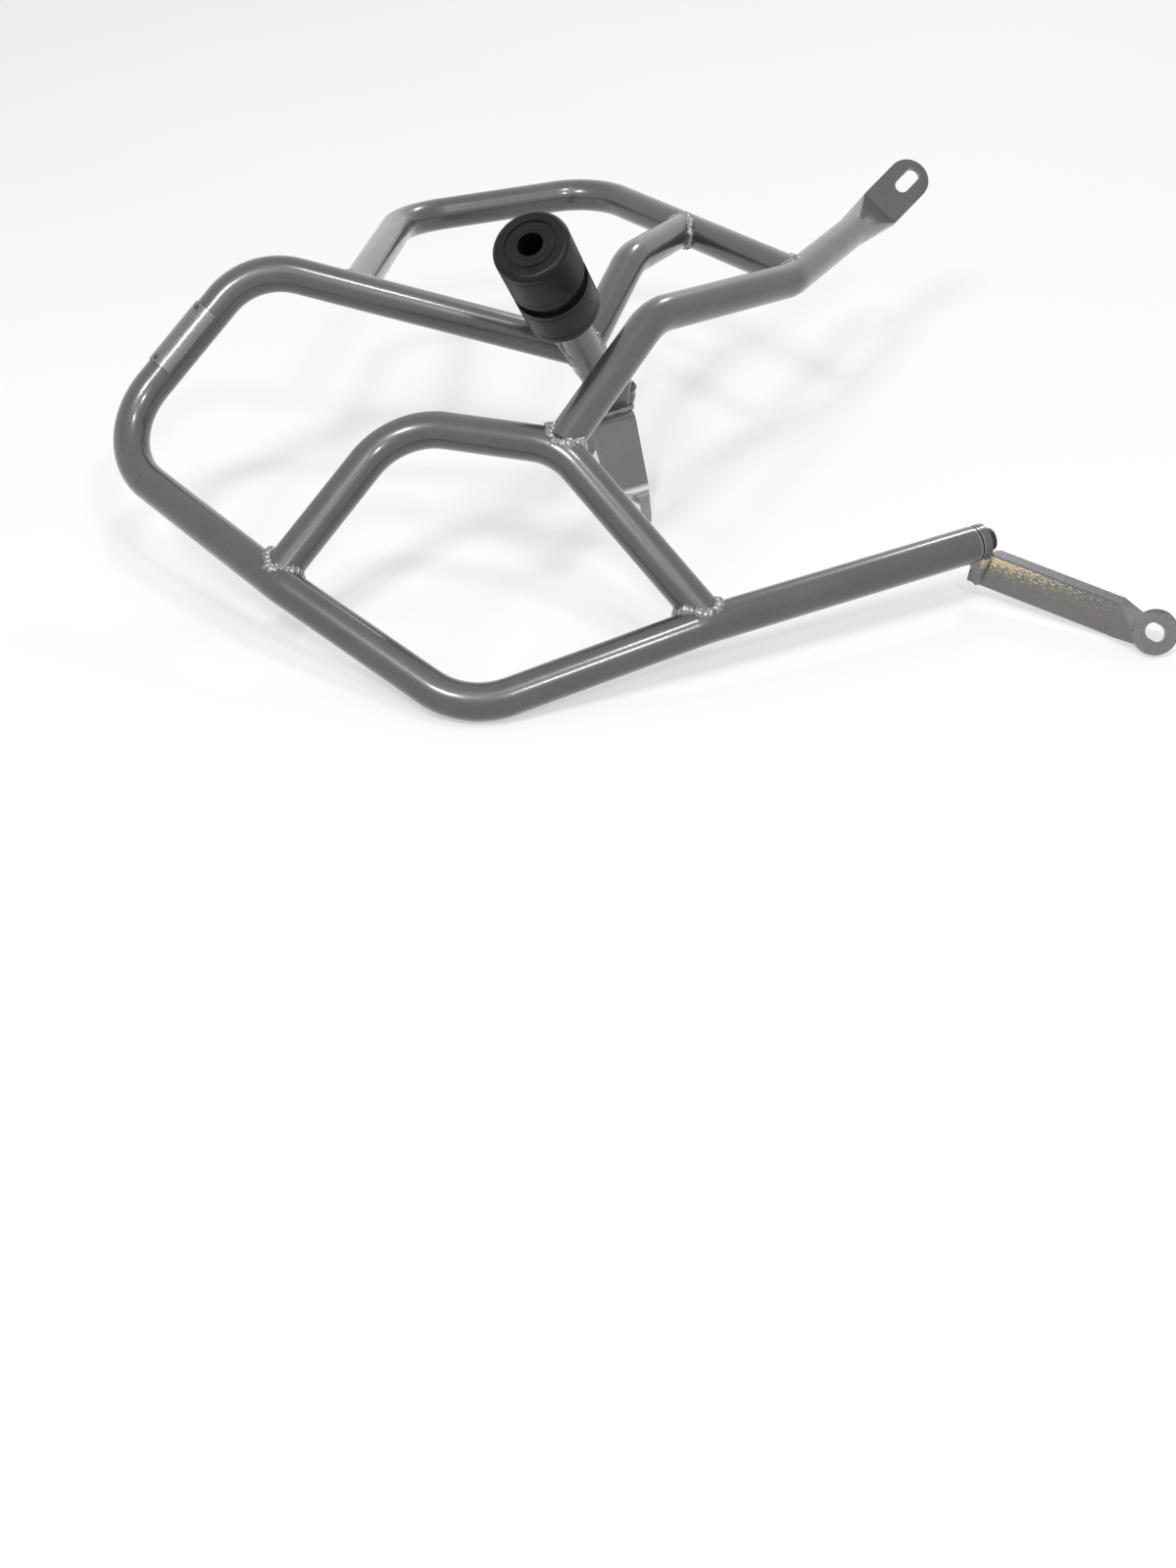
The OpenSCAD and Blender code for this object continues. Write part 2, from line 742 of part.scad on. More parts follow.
// The web and the flange along its top, seen along the web
module web_outline() {
  translate([-lower_t / 2, -web_h / 2]) square([lower_t, web_h]);
  translate([-lower_t / 2, web_h / 2 - lower_t]) square([flange_depth, lower_t]);
}

module lower_bracket() {
  slice = 1;
  color(steel) {
    on_end(lug_out) difference() {
      linear_extrude(lower_t) lug_outline();
      translate([0, 0, -past]) cylinder(d = lower_bolt_d + 2 * fit, h = lower_t + 2 * past);
    }
    difference() {
      on_web(0) linear_extrude(web_len) web_outline();
      on_end(lug_out + lower_t) cylinder(d = head_relief * lower_bolt_d, h = 3 * lower_bolt_d);
      on_end(-past) cylinder(r = 2 * lug_r, h = lug_out + past);
    }
    hull() {
      on_web(web_len - slice) linear_extrude(2 * slice) offset(delta = blend_step) web_outline();
      on_eye() translate([-neck_at, neck_up, 0])
        cube([slice, neck_w, lower_t - slice], center = true);
    }
    on_eye() linear_extrude(lower_t, center = true) difference() {
      circle(r = eye_r);
      rotate(eye_slot_turn) slot(eye_slot_w, eye_slot_travel);
    }
  }
}

bolt_washer_t = 1.6;

module bolt_washer() {
  color(black_steel) on_end(lug_out + lower_t) difference() {
    cylinder(d = washer_wide * lower_bolt_d, h = bolt_washer_t);
    translate([0, 0, -past]) cylinder(d = lower_bolt_d + 2 * fit, h = bolt_washer_t + 2 * past);
  }
}

module lower_bolt() {
  color(black_steel) on_end(lug_out + lower_t + bolt_washer_t)
    cap_screw(lower_bolt_d, button_wide * lower_bolt_d, button_high * lower_bolt_d,
      lug_out + lower_t + bolt_washer_t + plug_len - past);
}

// Name plate

module on_outer_run(along) {
  run = loop_top_bend - loop_outer_bend;
  middle = between(loop_outer_bend, loop_top_bend, plate_share) + unit(run) * along;
  aim(middle, loop_top_bend) rotate(90 + plate_angle) children();
}

module name_plate() {
  sweep = plate_w / (loop_od / 2) * 180 / PI;
  color(bright_steel) on_outer_run(-plate_len / 2) rotate(-sweep / 2)
    rotate_extrude(angle = sweep) translate([loop_od / 2, 0]) square([plate_t, plate_len]);
}

module plate_rivets() {
  color(bright_steel) for (side = [-1, 1]) on_outer_run(side * (plate_len / 2 - rivet_d))
    translate([loop_od / 2 + plate_t, 0, 0]) rotate([0, 90, 0])
      cylinder(d = rivet_d, h = rivet_d / 4);
}

loop_tube();
mid_tube();
arm_tube();
hoop_tube();
link_tube();
post_tube();
base_bracket();
rear_lug();
brace_strut();
post_end_plug();
loop_end_plug();
slider_puck();
slider_ring();
slider_bolt();
slider_washer();
lower_bracket();
spacer_washers();
lower_bolt();
bolt_washer();
name_plate();
plate_rivets();
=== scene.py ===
import math

import bpy
from mathutils import Matrix, Vector, noise
from mathutils.bvhtree import BVHTree


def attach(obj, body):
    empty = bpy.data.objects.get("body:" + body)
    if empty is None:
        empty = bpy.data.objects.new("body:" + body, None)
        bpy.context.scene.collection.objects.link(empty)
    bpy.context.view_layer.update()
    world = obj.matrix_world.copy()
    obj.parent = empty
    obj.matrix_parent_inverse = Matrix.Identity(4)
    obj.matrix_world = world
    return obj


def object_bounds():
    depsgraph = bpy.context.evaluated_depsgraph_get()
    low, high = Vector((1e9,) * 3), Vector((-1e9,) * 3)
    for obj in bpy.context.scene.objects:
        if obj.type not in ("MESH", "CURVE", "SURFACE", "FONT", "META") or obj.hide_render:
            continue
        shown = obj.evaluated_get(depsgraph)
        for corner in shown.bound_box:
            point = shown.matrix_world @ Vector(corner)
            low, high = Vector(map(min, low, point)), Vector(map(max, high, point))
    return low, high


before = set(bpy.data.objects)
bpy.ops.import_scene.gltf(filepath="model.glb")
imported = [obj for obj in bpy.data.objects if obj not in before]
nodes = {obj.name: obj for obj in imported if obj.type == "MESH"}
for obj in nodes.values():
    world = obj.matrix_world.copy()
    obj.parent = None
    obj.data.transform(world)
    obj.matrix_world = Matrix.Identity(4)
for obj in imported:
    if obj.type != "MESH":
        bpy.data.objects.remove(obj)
cad_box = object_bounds()


def mm(x, y, z):
    """A point of the construction, given in millimetres, in metres."""
    return Vector((x, y, z)) / 1000


def heading(angle):
    """The level direction at an angle from +X, in degrees."""
    return Vector((math.cos(math.radians(angle)), math.sin(math.radians(angle)), 0))


def step_to(a, b, distance):
    """The point at a distance from a, towards b."""
    return a + (b - a).normalized() * distance


# Corners, ends and radii of the tubes, as they are built

UP = Vector((0, 0, 1))

LOOP_END = mm(232, -147, 47)
LOOP_LOW = mm(44, -232, 38)
LOOP_SIDE = mm(-233, -204, 56)
LOOP_OUTER = mm(-373, -68, 89)
LOOP_TOP = mm(-266, 10, 190)
MID_OUTER = mm(-159, -107, 123)
MID_INNER = mm(-48, -147, 125)
ARM_LOW = mm(16, -49, 173)
ARM_HIGH = mm(122, 71, 148)
ARM_FLAT = mm(182, 195, 137)
HOOP_OUTER = mm(-182, 236, 136)
HOOP_INNER = mm(-23, 287, 140)
LINK_BEND = mm(3, 93, 157)
LOOP_R = 0.0127
BRANCH_R = 0.0125

POST_TOP = mm(-43, -19, 159)
POST_HEADING = 64.6
POST_LEAN = math.radians(36.5)
POST_DOWN = heading(POST_HEADING) * math.sin(POST_LEAN) - UP * math.cos(POST_LEAN)
JOINT_DEPTH = 0.0425   # from the post's top down to where the tubes meet it
JOINT = POST_TOP + POST_DOWN * JOINT_DEPTH

MID_STEP = 0.007       # from a corner of the loop to the mid tube's end
MID_START = step_to(LOOP_LOW, LOOP_END, MID_STEP)
MID_END = step_to(LOOP_SIDE, LOOP_OUTER, MID_STEP)
HOOP_SHARE = 0.305     # how far from the loop's top corner to the post the hoop starts
HOOP_START = LOOP_TOP.lerp(JOINT, HOOP_SHARE)
HOOP_STEP = 0.013      # from the arm's upper corner to the hoop's end
HOOP_END = step_to(ARM_HIGH, ARM_FLAT, HOOP_STEP)
LINK_SHARE = 0.473     # how far along the hoop's last run the link starts
LINK_START = HOOP_INNER.lerp(HOOP_END, LINK_SHARE)

# The base bracket's seat under the post, and its fork tab

SEAT = mm(-18, 34, 62)
SEAT_ANGLE = 29.4
FORK_FOLD = 0.041      # from the seat's middle out to the tab's fold

# The lower bracket's web, from its lug to its eye

WEB_START = mm(236.1, -138.5, 27.8)
WEB_END = mm(348, -209, 13.5)
WEB_DIR = (WEB_END - WEB_START).normalized()
WEB_UP = (UP - WEB_DIR * WEB_DIR.z).normalized()
WEB_HALF = 0.0126      # from the middle of the web's height to its edges
LUG_FOLD = 0.007       # where the lug's fold ends along the web


# Materials


class Tree:
    """Adds nodes to the node tree of a material or of the world."""

    def __init__(self, owner):
        owner.use_nodes = True
        self.tree = owner.node_tree

    def add(self, kind, **settings):
        """Adds a node. A setting is one of its properties or, with _ for spaces, an input."""
        node = self.tree.nodes.new(kind)
        for key, value in settings.items():
            if hasattr(node, key):
                setattr(node, key, value)
            else:
                node.inputs[key.replace("_", " ")].default_value = value
        return node

    def feed(self, value, socket):
        """Links or writes a value, a number or a colour, into a socket."""
        if isinstance(value, bpy.types.NodeSocket):
            self.tree.links.new(value, socket)
        elif isinstance(value, tuple):
            socket.default_value = (*value, 1)
        else:
            socket.default_value = value

    def span(self, value, low, high, out_low, out_high):
        """Maps a value from low..high to out_low..out_high, and holds it there."""
        node = self.add("ShaderNodeMapRange", From_Min=low, From_Max=high,
                        To_Min=out_low, To_Max=out_high)
        self.feed(value, node.inputs["Value"])
        return node.outputs["Result"]

    def math(self, how, first, *others):
        """Works a row of values through one operation, from left to right."""
        for value in others:
            node = self.add("ShaderNodeMath", operation=how)
            self.feed(first, node.inputs[0])
            self.feed(value, node.inputs[1])
            first = node.outputs[0]
        return first

    def background_seen(self):
        """1 for a ray that shows the background: from the camera, off metal or through glass."""
        rays = self.add("ShaderNodeLightPath").outputs
        return self.math("MAXIMUM", rays["Is Camera Ray"], rays["Is Glossy Ray"],
                         rays["Is Transmission Ray"])


class Finish(Tree):
    """Builds one procedural material."""

    def __init__(self, name):
        self.material = bpy.data.materials.new(name)
        super().__init__(self.material)
        self.shader = self.tree.nodes["Principled BSDF"]
        self.place = self.add("ShaderNodeTexCoord").outputs["Object"]

    def noise(self, scale, detail=2.0, rough=0.5, where=None):
        """Soft noise from 0 to 1, over the piece or over a vector of its own."""
        node = self.add("ShaderNodeTexNoise", Scale=scale, Detail=detail, Roughness=rough)
        self.feed(where or self.place, node.inputs["Vector"])
        return node.outputs["Fac"]

    def ramp(self, fac, *stops):
        """Maps a value through stops, each a place and a grey or colour."""
        node = self.add("ShaderNodeValToRGB")
        while len(node.color_ramp.elements) < len(stops):
            node.color_ramp.elements.new(0.5)
        for element, (at, value) in zip(node.color_ramp.elements, stops):
            color = value if isinstance(value, tuple) else (value, value, value)
            element.position = at
            element.color = (*color, 1)
        self.feed(fac, node.inputs["Fac"])
        return node.outputs["Color"]

    def along(self, direction, start):
        """How far a place lies along a direction, counted from a start."""
        node = self.add("ShaderNodeVectorMath", operation="DOT_PRODUCT")
        self.feed(self.place, node.inputs[0])
        node.inputs[1].default_value = direction
        return self.math("SUBTRACT", node.outputs["Value"], start.dot(direction))

    def mix(self, fac, a, b):
        """Mixes colour b over colour a."""
        node = self.add("ShaderNodeMix", data_type="RGBA")
        for value, name, kind in ((fac, "Factor", "VALUE"), (a, "A", "RGBA"), (b, "B", "RGBA")):
            self.feed(value, next(s for s in node.inputs if (s.name, s.type) == (name, kind)))
        return next(s for s in node.outputs if s.type == "RGBA")

    def bump(self, height, strength, distance, under=None):
        """Turns a height into a normal, laid over another bump's normal if there is one."""
        node = self.add("ShaderNodeBump", Strength=strength, Distance=distance)
        self.feed(height, node.inputs["Height"])
        if under:
            self.feed(under, node.inputs["Normal"])
        return node.outputs["Normal"]

    def to(self, name, value):
        """Gives the shader's socket of a name its value."""
        self.feed(value, self.shader.inputs[name])


# Noise scales, in waves to the metre

FLAKE = 3200          # metal flakes in the coat
PEEL = 420            # orange peel
DULL = 45             # dull patches
CLOUD = 16            # slow changes of shade
SCRATCH = 2400        # fine scratches in plastic
DENT = 260            # soft unevenness of plastic
RUBBED = 90           # rubbed spots on plastic
GLINT_WAVES_ALONG = 330     # coarse streaks of painted glint, along the web
GLINT_WAVES_UP = 900        # coarse streaks of painted glint, up the web

FLAKE_GAIN = 1.45     # how much brighter a flake is than its coat
METAL_SHADE = 0.7     # how bright the darkest grain of plain metal is
METAL_SPREAD = 0.25   # how far its roughness varies, either way
TURNOVER = 0.0006     # the width over which one painted shade turns into the next


def coat(name, color, dark, peel=0.06, painted_light=None, rough=0.30):
    """Grey metallic powder coat: flake, slow shade changes, orange peel and dull patches."""
    m = Finish(name)
    flake = m.noise(FLAKE, detail=1.0)
    bright = tuple(c * FLAKE_GAIN for c in color)
    base = m.ramp(flake, (0.30, dark), (0.52, color), (0.74, bright))
    base = m.mix(m.span(m.noise(CLOUD, detail=3.0), 0.35, 0.7, 0.0, 0.4), base, dark)
    # Some coats have painted light laid over their colour
    if painted_light:
        base = painted_light(m, base)
    m.to("Base Color", base)
    m.to("Metallic", 0.6)
    m.to("Specular IOR Level", 0.35)
    m.to("Roughness", m.span(m.noise(DULL, detail=4.0), 0.3, 0.75, rough, rough + 0.10))
    m.to("Coat Weight", 0.9)
    m.to("Coat Roughness", 0.15)
    sparkle = m.bump(flake, strength=0.04, distance=0.0002)
    m.to("Normal", m.bump(m.noise(PEEL), strength=peel, distance=0.0006, under=sparkle))
    return m.material


GLINT_SPAN_ALONG = (0.012, 0.115)   # the painted glint thins out between these places along the web
GLINT_SPAN_UP = (-0.004, 0.011)     # and gets denser between these heights
GLINT_GAIN = 0.27              # how much noise is added where it is densest
# Widths over which the painted reflection on the flange and the painted glint by the lug fade in
FLANGE_FADE = 0.0005
LUG_FADE = 0.003


def web_painted_light(m, base):
    """The lower bracket's painted light: a painted dark reflection on the flange, a painted yellow
    glint high on the web, and a painted highlight along the pale lower edge.
    """
    flange, gold, edge_highlight = (0.070, 0.076, 0.086), (0.78, 0.62, 0.37), (0.50, 0.49, 0.47)
    along, up = m.along(WEB_DIR, WEB_START), m.along(WEB_UP, WEB_START)
    # Painted reflection: the flange is darkened with a dark bluish tone
    base = m.mix(m.span(up, WEB_HALF, WEB_HALF + FLANGE_FADE, 0, 0.8), base, flange)

    # Painted glint: yellow streaks of noise high on the web, thinning out away from the lug
    streak = m.add("ShaderNodeCombineXYZ")
    m.feed(m.math("MULTIPLY", along, GLINT_WAVES_ALONG), streak.inputs["X"])
    m.feed(m.math("MULTIPLY", up, GLINT_WAVES_UP), streak.inputs["Y"])
    grain = m.noise(1.0, detail=4.0, rough=0.72, where=streak.outputs[0])
    dense = m.math("MULTIPLY", m.span(along, *GLINT_SPAN_ALONG, 1, 0.1),
                   m.span(up, *GLINT_SPAN_UP, 0, 1), GLINT_GAIN)
    golden = m.math("MULTIPLY", m.span(m.math("ADD", grain, dense), 0.64, 0.74, 0, 0.9),
                    m.span(up, WEB_HALF - TURNOVER, WEB_HALF, 1, 0),
                    m.span(along, LUG_FOLD, LUG_FOLD + LUG_FADE, 0, 1))
    base = m.mix(golden, base, gold)
    # Painted highlight: the web's lower edge is made paler
    return m.mix(m.span(up, -WEB_HALF - TURNOVER, -WEB_HALF, 0.7, 0), base, edge_highlight)


def fork_tab(m, base):
    """The base bracket's painted light: past its fold the fork tab is painted paler, as it faces
    the light, and the fold gets a painted highlight.
    """
    tab, edge_highlight, highlight_half = (0.27, 0.28, 0.30), (0.72, 0.73, 0.74), 0.0018
    out = m.along(heading(SEAT_ANGLE - 90), SEAT)
    # Painted light: past the fold the tab is made paler
    base = m.mix(m.span(out, FORK_FOLD - TURNOVER, FORK_FOLD + TURNOVER, 0, 1), base, tab)
    # Painted highlight: a thin pale band along the fold
    wear_and_highlight = m.math("MULTIPLY", m.span(out, FORK_FOLD - highlight_half, FORK_FOLD, 0, 1),
                 m.span(out, FORK_FOLD, FORK_FOLD + highlight_half, 1, 0))
    return m.mix(wear_and_highlight, base, edge_highlight)


def moulded_plastic():
    """Black turned plastic: satin, with fine scratches and paler rubbed spots."""
    black, rubbed = (0.004, 0.004, 0.0048), (0.009, 0.009, 0.0105)
    m = Finish("slider_plastic")
    wear_and_highlight = m.noise(RUBBED, detail=5.0, rough=0.65)
    m.to("Base Color", m.ramp(wear_and_highlight, (0.40, black), (0.72, rubbed)))
    m.to("Roughness", m.span(wear_and_highlight, 0.3, 0.7, 0.30, 0.44))
    m.to("Specular IOR Level", 0.22)
    dents = m.bump(m.noise(DENT, detail=3.0), strength=0.12, distance=0.0004)
    m.to("Normal", m.bump(m.noise(SCRATCH), strength=0.18, distance=0.0002, under=dents))
    return m.material


def plain_metal(name, color, rough, metallic=1.0, grain=1500):
    """Bare or blackened metal with a fine grain."""
    m = Finish(name)
    brush = m.noise(grain, detail=3.0, rough=0.7)
    shade = tuple(c * METAL_SHADE for c in color)
    smoother, rougher = rough * (1 - METAL_SPREAD), rough * (1 + METAL_SPREAD)
    m.to("Base Color", m.ramp(brush, (0.3, shade), (0.7, color)))
    m.to("Metallic", metallic)
    m.to("Roughness", m.span(brush, 0.3, 0.7, smoother, rougher))
    m.to("Normal", m.bump(brush, strength=0.15, distance=0.0002))
    return m.material


# Each coat has its colour and its darker shade, and then how strong its orange peel is
TUBE = coat("powder_coat_tube", (0.090, 0.089, 0.088), (0.052, 0.052, 0.053))
BRACKET = coat("powder_coat_bracket", (0.150, 0.150, 0.150), (0.11, 0.11, 0.11), 0.12,
               painted_light=fork_tab, rough=0.36)
LOWER = coat("powder_coat_lower", (0.150, 0.147, 0.141), (0.105, 0.103, 0.10), 0.35,
             painted_light=web_painted_light)
# Weld beads: paler than the tubes' coat, as a painted sheen on their lumps
WELD_PAINTED_SHEEN = coat("powder_coat_weld_painted_sheen", (0.26, 0.26, 0.26), (0.11, 0.11, 0.112), 0.25, rough=0.24)
# A dark coat for painted shade: the shadow line round the name plate and the shaded weld lump at
# the post's foot
SHADE_COAT = coat("painted_shade_coat", (0.07, 0.068, 0.062), (0.03, 0.03, 0.028), 1.0)
PLATE = coat("plate_coat", (0.155, 0.154, 0.152), (0.10, 0.10, 0.10), 0.35)
RIVET = coat("rivet_coat", (0.10, 0.10, 0.10), (0.05, 0.05, 0.05), 0.5)
PLASTIC = moulded_plastic()
STEEL = plain_metal("bright_steel", (0.55, 0.55, 0.54), 0.28)
BLACK = plain_metal("black_steel", (0.022, 0.022, 0.025), 0.42, metallic=0.4, grain=900)

# A node that isn't listed has the tubes' coat
MATERIALS = {
    "base_bracket": BRACKET, "rear_lug": BRACKET, "brace_strut": BRACKET,
    "lower_bracket": LOWER, "slider_puck": PLASTIC, "slider_ring": STEEL,
    "slider_bolt": BLACK, "slider_washer": BLACK, "spacer_washers": PLATE,
    "lower_bolt": BLACK, "bolt_washer": BLACK, "name_plate": PLATE, "plate_rivets": RIVET,
}
for name, node in nodes.items():
    node.data.materials.clear()
    node.data.materials.append(MATERIALS.get(name, TUBE))


# Beads: a closed or open line of points, with a lumpy round section

BEAD_SIDES = 12
BEAD_SWELL = 0.10      # how much a ripple widens a bead
BEAD_RIPPLE = 0.0032   # from one ripple of a weld to the next
LUMP_SCALE = 150       # lumps to the metre
END_AREA = 0.04        # an open bead's section at its ends, as a share of its full area


def spokes(direction, count):
    """Unit directions square to a direction, all round it."""
    across = direction.orthogonal().normalized()
    up = direction.cross(across)
    angles = [2 * math.pi * i / count for i in range(count)]
    return [across * math.cos(angle) + up * math.sin(angle) for angle in angles]


def smoothed(loop, rounds):
    """Draws each point of a closed loop towards its neighbours."""
    for _ in range(rounds):
        loop = [(loop[i - 1] + loop[i] * 2 + loop[(i + 1) % len(loop)]) / 4
                for i in range(len(loop))]
    return loop


def bead_points(line, radius, lumps, closed):
    """The rings of points round a bead's line."""
    count, length, points = len(line), 0.0, []
    for i, point in enumerate(line):
        ahead = line[(i + 1) % count] if closed or i < count - 1 else point
        behind = line[i - 1] if closed or i else point
        length += (point - line[i - 1]).length if i else 0
        size = radius * (1 + BEAD_SWELL * math.sin(2 * math.pi * length / BEAD_RIPPLE))
        if not closed:
            size *= math.sqrt(max(END_AREA, 1 - (2 * i / (count - 1) - 1) ** 4))
        for out in spokes((ahead - behind).normalized(), BEAD_SIDES):
            lump = 1 + lumps * noise.noise((point + out * radius) * LUMP_SCALE)
            points.append(point + out * size * lump)
    return points


def best_turn(points, a, b):
    """How far the closing ring is turned, so that its points meet the nearest ones."""
    return min(range(BEAD_SIDES), key=lambda turn: sum(
        (points[a + j] - points[b + (j + turn) % BEAD_SIDES]).length
        for j in range(BEAD_SIDES)))


def bead_faces(points, closed):
    """The faces between a bead's rings, and over its ends if it is open."""
    count, faces = len(points) // BEAD_SIDES, []
    for i in range(count if closed else count - 1):
        a, b = i * BEAD_SIDES, (i + 1) % count * BEAD_SIDES
        turn = best_turn(points, a, b) if i == count - 1 else 0
        for j in range(BEAD_SIDES):
            k = (j + 1) % BEAD_SIDES
            faces.append((a + j, b + (j + turn) % BEAD_SIDES, b + (k + turn) % BEAD_SIDES, a + k))
    if not closed:
        faces.append(tuple(range(BEAD_SIDES)))
        faces.append(tuple(reversed(range(len(points) - BEAD_SIDES, len(points)))))
    return faces


def bead(name, line, radius, material, lumps, closed=True):
    """A lumpy bead of a given radius along a line of points."""
    points = bead_points(line, radius, lumps, closed)
    mesh = bpy.data.meshes.new(name)
    mesh.from_pydata(points, [], bead_faces(points, closed))
    mesh.validate()
    for polygon in mesh.polygons:
        polygon.use_smooth = True
    mesh.materials.append(material)
    piece = bpy.data.objects.new(name, mesh)
    bpy.context.scene.collection.objects.link(piece)
    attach(piece, "root")


# Weld beads where a round tube ends on other tubes

SEAM_POINTS = 120
RAY_LEAD = 0.06            # how far before its end a tube's outside is cast on to its host
LEAD_SHARE = 0.9           # and the most of the tube's last run that this may be
RAY_REACH = 0.075          # a hit past this has missed, and the nearest place is taken
TRIES = range(20, 76, 2)   # how many millimetres ahead the nearest place is looked for
SINK = 0.8                 # how far a bead sinks between flush surfaces, as a share of its size


def surface_of(names):
    """The joined surface of some nodes, for casting rays on."""
    points, faces = [], []
    for name in names:
        mesh = nodes[name].data
        start = len(points)
        points += [v.co.copy() for v in mesh.vertices]
        faces += [[start + i for i in p.vertices] for p in mesh.polygons]
    return BVHTree.FromPolygons(points, faces)


def nearest_ahead(surface, edge, direction):
    """The place of a surface that is nearest to the line ahead of a missed tube edge."""
    found = [surface.find_nearest(edge + direction * t / 1000) for t in TRIES]
    return min(found, key=lambda place: place[3])[0]


def sunk(point, branch_normal, host_normal, size):
    """Lays a bead lower where the two surfaces run into each other without a corner."""
    flush = max(0.0, branch_normal.dot(host_normal))
    return point - (branch_normal + host_normal).normalized() * size * SINK * flush


def round_seam(hosts, corner, end, radius, size):
    """Where a round tube that runs from its last corner to its end meets its hosts' surface."""
    direction = (end - corner).normalized()
    surface = surface_of(hosts)
    start = end - direction * min(RAY_LEAD, (end - corner).length * LEAD_SHARE)
    seam = []
    for out in spokes(direction, SEAM_POINTS):
        edge = start + out * radius
        hit = surface.ray_cast(edge, direction)[0]
        if hit is None or (hit - edge).length > RAY_REACH:
            hit = nearest_ahead(surface, edge, direction)
        seam.append(hit)
    middle = []
    for point in smoothed(seam, 3):
        out = (point - corner) - direction * (point - corner).dot(direction)
        middle.append(sunk(point, out.normalized(), surface.find_nearest(point)[1], size))
    return smoothed(middle, 2)


# Each weld's hosts, the last corner, end and radius of the tube that ends on them, and its size
SEAMS = (
    ("weld_mid_front", ["loop_tube"], MID_INNER, MID_START, BRANCH_R, 0.0048),
    ("weld_mid_side", ["loop_tube"], MID_OUTER, MID_END, BRANCH_R, 0.0044),
    ("weld_arm_low", ["mid_tube"], ARM_LOW, MID_INNER, BRANCH_R, 0.0050),
    ("weld_hoop_loop", ["loop_tube"], HOOP_OUTER, HOOP_START, BRANCH_R, 0.0036),
    ("weld_hoop_arm", ["arm_tube"], HOOP_INNER, HOOP_END, BRANCH_R, 0.0036),
    ("weld_link_hoop", ["hoop_tube"], LINK_BEND, LINK_START, BRANCH_R, 0.0036),
    ("weld_link_post", ["post_tube", "loop_tube"], LINK_BEND, JOINT, BRANCH_R, 0.0034),
    ("weld_loop_post", ["post_tube"], LOOP_TOP, JOINT, LOOP_R, 0.0030),
)
for name, hosts, corner, end, radius, size in SEAMS:
    bead(name, round_seam(hosts, corner, end, radius, size), size, WELD_PAINTED_SHEEN, lumps=0.45)


# Welds at the post's foot, in millimetres from the middle of the base bracket's seat

FOOT_WIDTH, FOOT_DEPTH = 40, 15
FOOT_SHIFT, FOOT_LIFT = 2, 0.6    # across and up
FOOT_SLOPE = 3                    # how fast the points cross from one half circle to the other
FOOT_POINTS = 110
EDGE_START = (18, -1, 2)          # across, back and up
EDGE_LEAN, EDGE_RISE = 0.9, 2.3   # forwards and up, from one point to the next
EDGE_WAVE, EDGE_TURN = 1.2, 0.9   # how wide the line waves, and radians of that to a point
EDGE_POINTS = 10


def at_seat(across, back, up):
    """A point by the post's foot: across the base bracket, towards its back, and up."""
    return (SEAT + heading(SEAT_ANGLE) * across / 1000 + heading(SEAT_ANGLE + 90) * back / 1000
            + Vector((0, 0, up / 1000)))


def foot_oval():
    """The outline of the post's foot: two half circles joined by straight lines."""
    radius, run = FOOT_DEPTH / 2, (FOOT_WIDTH - FOOT_DEPTH) / 2
    points = []
    for i in range(FOOT_POINTS):
        angle = 2 * math.pi * i / FOOT_POINTS
        c, s = math.cos(angle), math.sin(angle)
        shift = math.copysign(run, c) * min(1, abs(c) * FOOT_SLOPE)
        points.append(at_seat(FOOT_SHIFT + shift + radius * c, radius * s, FOOT_LIFT))
    return smoothed(points, 4)


def foot_edge():
    """A wavy line up the foot's right edge, leaning forwards."""
    across, back, up = EDGE_START
    return [at_seat(across + EDGE_WAVE * math.sin(i * EDGE_TURN), back - i * EDGE_LEAN,
                    up + i * EDGE_RISE) for i in range(EDGE_POINTS)]


bead("weld_post_foot", foot_oval(), 0.0028, WELD_PAINTED_SHEEN, lumps=0.3)
# A weld lump up the foot's right edge, darkened as painted shade of the foot's side
bead("weld_post_edge_painted_shade", foot_edge(), 0.0058, SHADE_COAT, lumps=0.5, closed=False)


# The painted shadow line round the name plate

PLATE_CORNER = 0.002   # radius of the plate's corners
PLATE_OUT = 0.0131     # from the tube's middle to the line
PLATE_SLACK = 0.0003   # how far outside the plate's long sides the line lies


def round_rectangle(half_x, half_y, corner, steps=6, run=24):
    """Points round a rectangle: arcs of some steps, and sides that are cut into a run of pieces."""
    arcs = []
    for quarter, (x, y) in enumerate(((1, 1), (-1, 1), (-1, -1), (1, -1))):
        turns = [math.radians(90 * (quarter + i / steps)) for i in range(steps + 1)]
        arcs.append([(x * half_x + corner * math.cos(t), y * half_y + corner * math.sin(t))
                     for t in turns])
    points = []
    for arc, following in zip(arcs, arcs[1:] + arcs[:1]):
        (x, y), (goal_x, goal_y) = arc[-1], following[0]
        points += arc + [(x + (goal_x - x) * i / run, y + (goal_y - y) * i / run)
                         for i in range(1, run)]
    return points


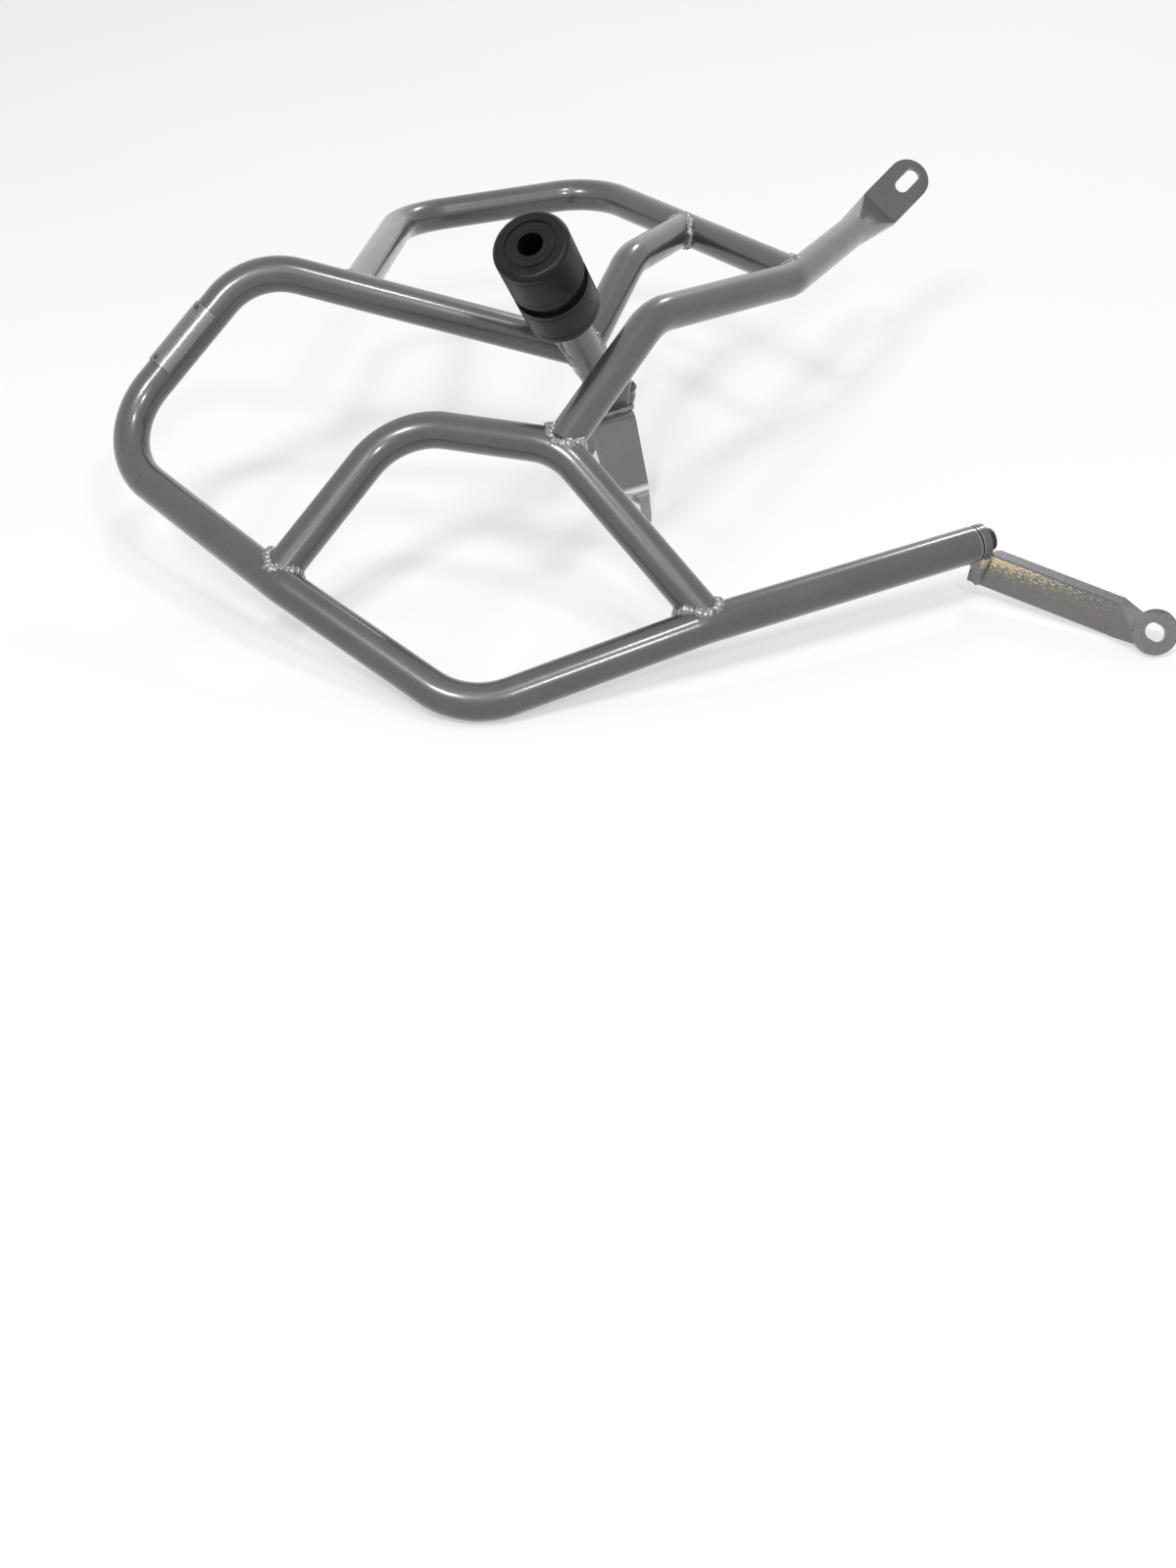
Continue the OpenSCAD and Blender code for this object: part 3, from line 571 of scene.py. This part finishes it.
def plate_outline():
    """The plate's outline on the tube under it, worked out from the plate's own mesh."""
    direction = (LOOP_TOP - LOOP_OUTER).normalized()
    spots = [v.co - LOOP_OUTER for v in nodes["name_plate"].data.vertices]
    radial = [v - direction * v.dot(direction) for v in spots]
    front = sum(radial, Vector()).normalized()
    side = direction.cross(front)
    angles = [math.atan2(r.dot(side), r.dot(front)) for r in radial]
    lengths = [v.dot(direction) for v in spots]
    middle = (max(lengths) + min(lengths)) / 2
    half_long = (max(lengths) - min(lengths)) / 2 - PLATE_CORNER
    half_wide = max(map(abs, angles)) * PLATE_OUT - PLATE_CORNER + PLATE_SLACK
    return [LOOP_OUTER + direction * (middle + x)
            + (front * math.cos(y / PLATE_OUT) + side * math.sin(y / PLATE_OUT)) * PLATE_OUT
            for x, y in round_rectangle(half_long, half_wide, PLATE_CORNER)]


bead("plate_painted_shadow", plate_outline(), 0.0006, SHADE_COAT, lumps=0.3)


# Turned rims on the slider's face

FACE_HEIGHT = max((v.co - POST_TOP).dot(-POST_DOWN) for v in nodes["slider_puck"].data.vertices)
FACE_MIDDLE = POST_TOP - POST_DOWN * FACE_HEIGHT
RIM_SIZE = 0.00045
RIM_POINTS = 120

for name, radius in (("slider_inner_rim", 0.0117), ("slider_outer_rim", 0.0188)):
    bead(name, [FACE_MIDDLE + out * radius for out in spokes(POST_DOWN, RIM_POINTS)],
         RIM_SIZE, PLASTIC, lumps=0.0)


# Floor, lamps, world and camera

FLOOR_BOX = ((-5, -4), (5, 7))
FLOOR_GAP = 0.0002     # how far the floor lies below the part
FLOOR_GLOW = 0.5       # how much of the floor that the camera sees is plain white
FLOOR_CLOUD = 3        # pale patches of the floor, to the metre
SKY_LIGHT = 0.48       # strength of the world's light on the part
WHITE = 1.0            # strength at which the background is seen as white
AIM = Vector((0, 0, 0.1))   # where the lamps point

# Each lamp's place, width in metres and power in watts
LAMPS = (
    ("key", (-0.70, -1.35, 1.9), 0.32, 20),
    ("strip", (0.60, -1.7, 1.8), 0.26, 12),
    ("top", (0.30, -0.7, 2.3), 0.26, 10),
    ("back", (0.75, 1.7, 1.7), 0.40, 9),
)

CAMERA_PLACE = mm(-22, -1259, 695.6)
CAMERA_FORWARD = Vector((-0.0079, 0.794, -0.608)).normalized()
CAMERA_RIGHT = Vector((0.9999, 0, -0.013))
SENSOR = 36
LENS_RATIO = 1900 / 1600   # focal length over the picture's height, both in pixels


def floor():
    (x0, y0), (x1, y1) = FLOOR_BOX
    mesh = bpy.data.meshes.new("floor")
    mesh.from_pydata([(x0, y0, 0), (x1, y0, 0), (x1, y1, 0), (x0, y1, 0)], [], [(0, 1, 2, 3)])
    piece = bpy.data.objects.new("floor", mesh)
    bpy.context.scene.collection.objects.link(piece)
    piece.location.z = cad_box[0][2] - FLOOR_GAP
    m = Finish("floor")
    m.to("Base Color", m.ramp(m.noise(FLOOR_CLOUD), (0.3, 0.90), (0.7, 0.92)))
    m.to("Roughness", 0.9)
    m.to("Specular IOR Level", 0.1)
    glow = m.add("ShaderNodeEmission", Strength=WHITE)
    both = m.add("ShaderNodeMixShader")
    m.feed(m.span(m.background_seen(), 0, 1, 0, FLOOR_GLOW), both.inputs["Fac"])
    m.feed(m.shader.outputs["BSDF"], both.inputs[1])
    m.feed(glow.outputs["Emission"], both.inputs[2])
    m.feed(both.outputs["Shader"], m.tree.nodes["Material Output"].inputs["Surface"])
    mesh.materials.append(m.material)


def lamp(name, place, size, power):
    """A square area lamp that faces the part."""
    data = bpy.data.lights.new(name, "AREA")
    data.size = size
    data.energy = power
    piece = bpy.data.objects.new(name, data)
    piece.location = place
    piece.rotation_euler = (AIM - Vector(place)).to_track_quat("-Z", "Y").to_euler()
    bpy.context.scene.collection.objects.link(piece)


def studio():
    """A white world, seen as white but weaker as light on the part."""
    world = bpy.data.worlds.new("studio")
    bpy.context.scene.world = world
    w = Tree(world)
    sky = w.tree.nodes["Background"]
    w.feed(w.span(w.background_seen(), 0, 1, SKY_LIGHT, WHITE), sky.inputs["Strength"])
    w.feed((1, 1, 1), sky.inputs["Color"])


def camera():
    data = bpy.data.cameras.new("camera")
    data.sensor_fit = "VERTICAL"
    data.sensor_height = SENSOR
    data.lens = SENSOR * LENS_RATIO
    piece = bpy.data.objects.new("camera", data)
    piece.location = CAMERA_PLACE
    right = (CAMERA_RIGHT - CAMERA_FORWARD * CAMERA_RIGHT.dot(CAMERA_FORWARD)).normalized()
    up = right.cross(CAMERA_FORWARD)
    piece.rotation_euler = Matrix((right, up, -CAMERA_FORWARD)).transposed().to_euler()
    bpy.context.scene.collection.objects.link(piece)
    bpy.context.scene.camera = piece


floor()
for settings in LAMPS:
    lamp(*settings)
studio()
camera()
bpy.context.scene.view_settings.view_transform = "Standard"
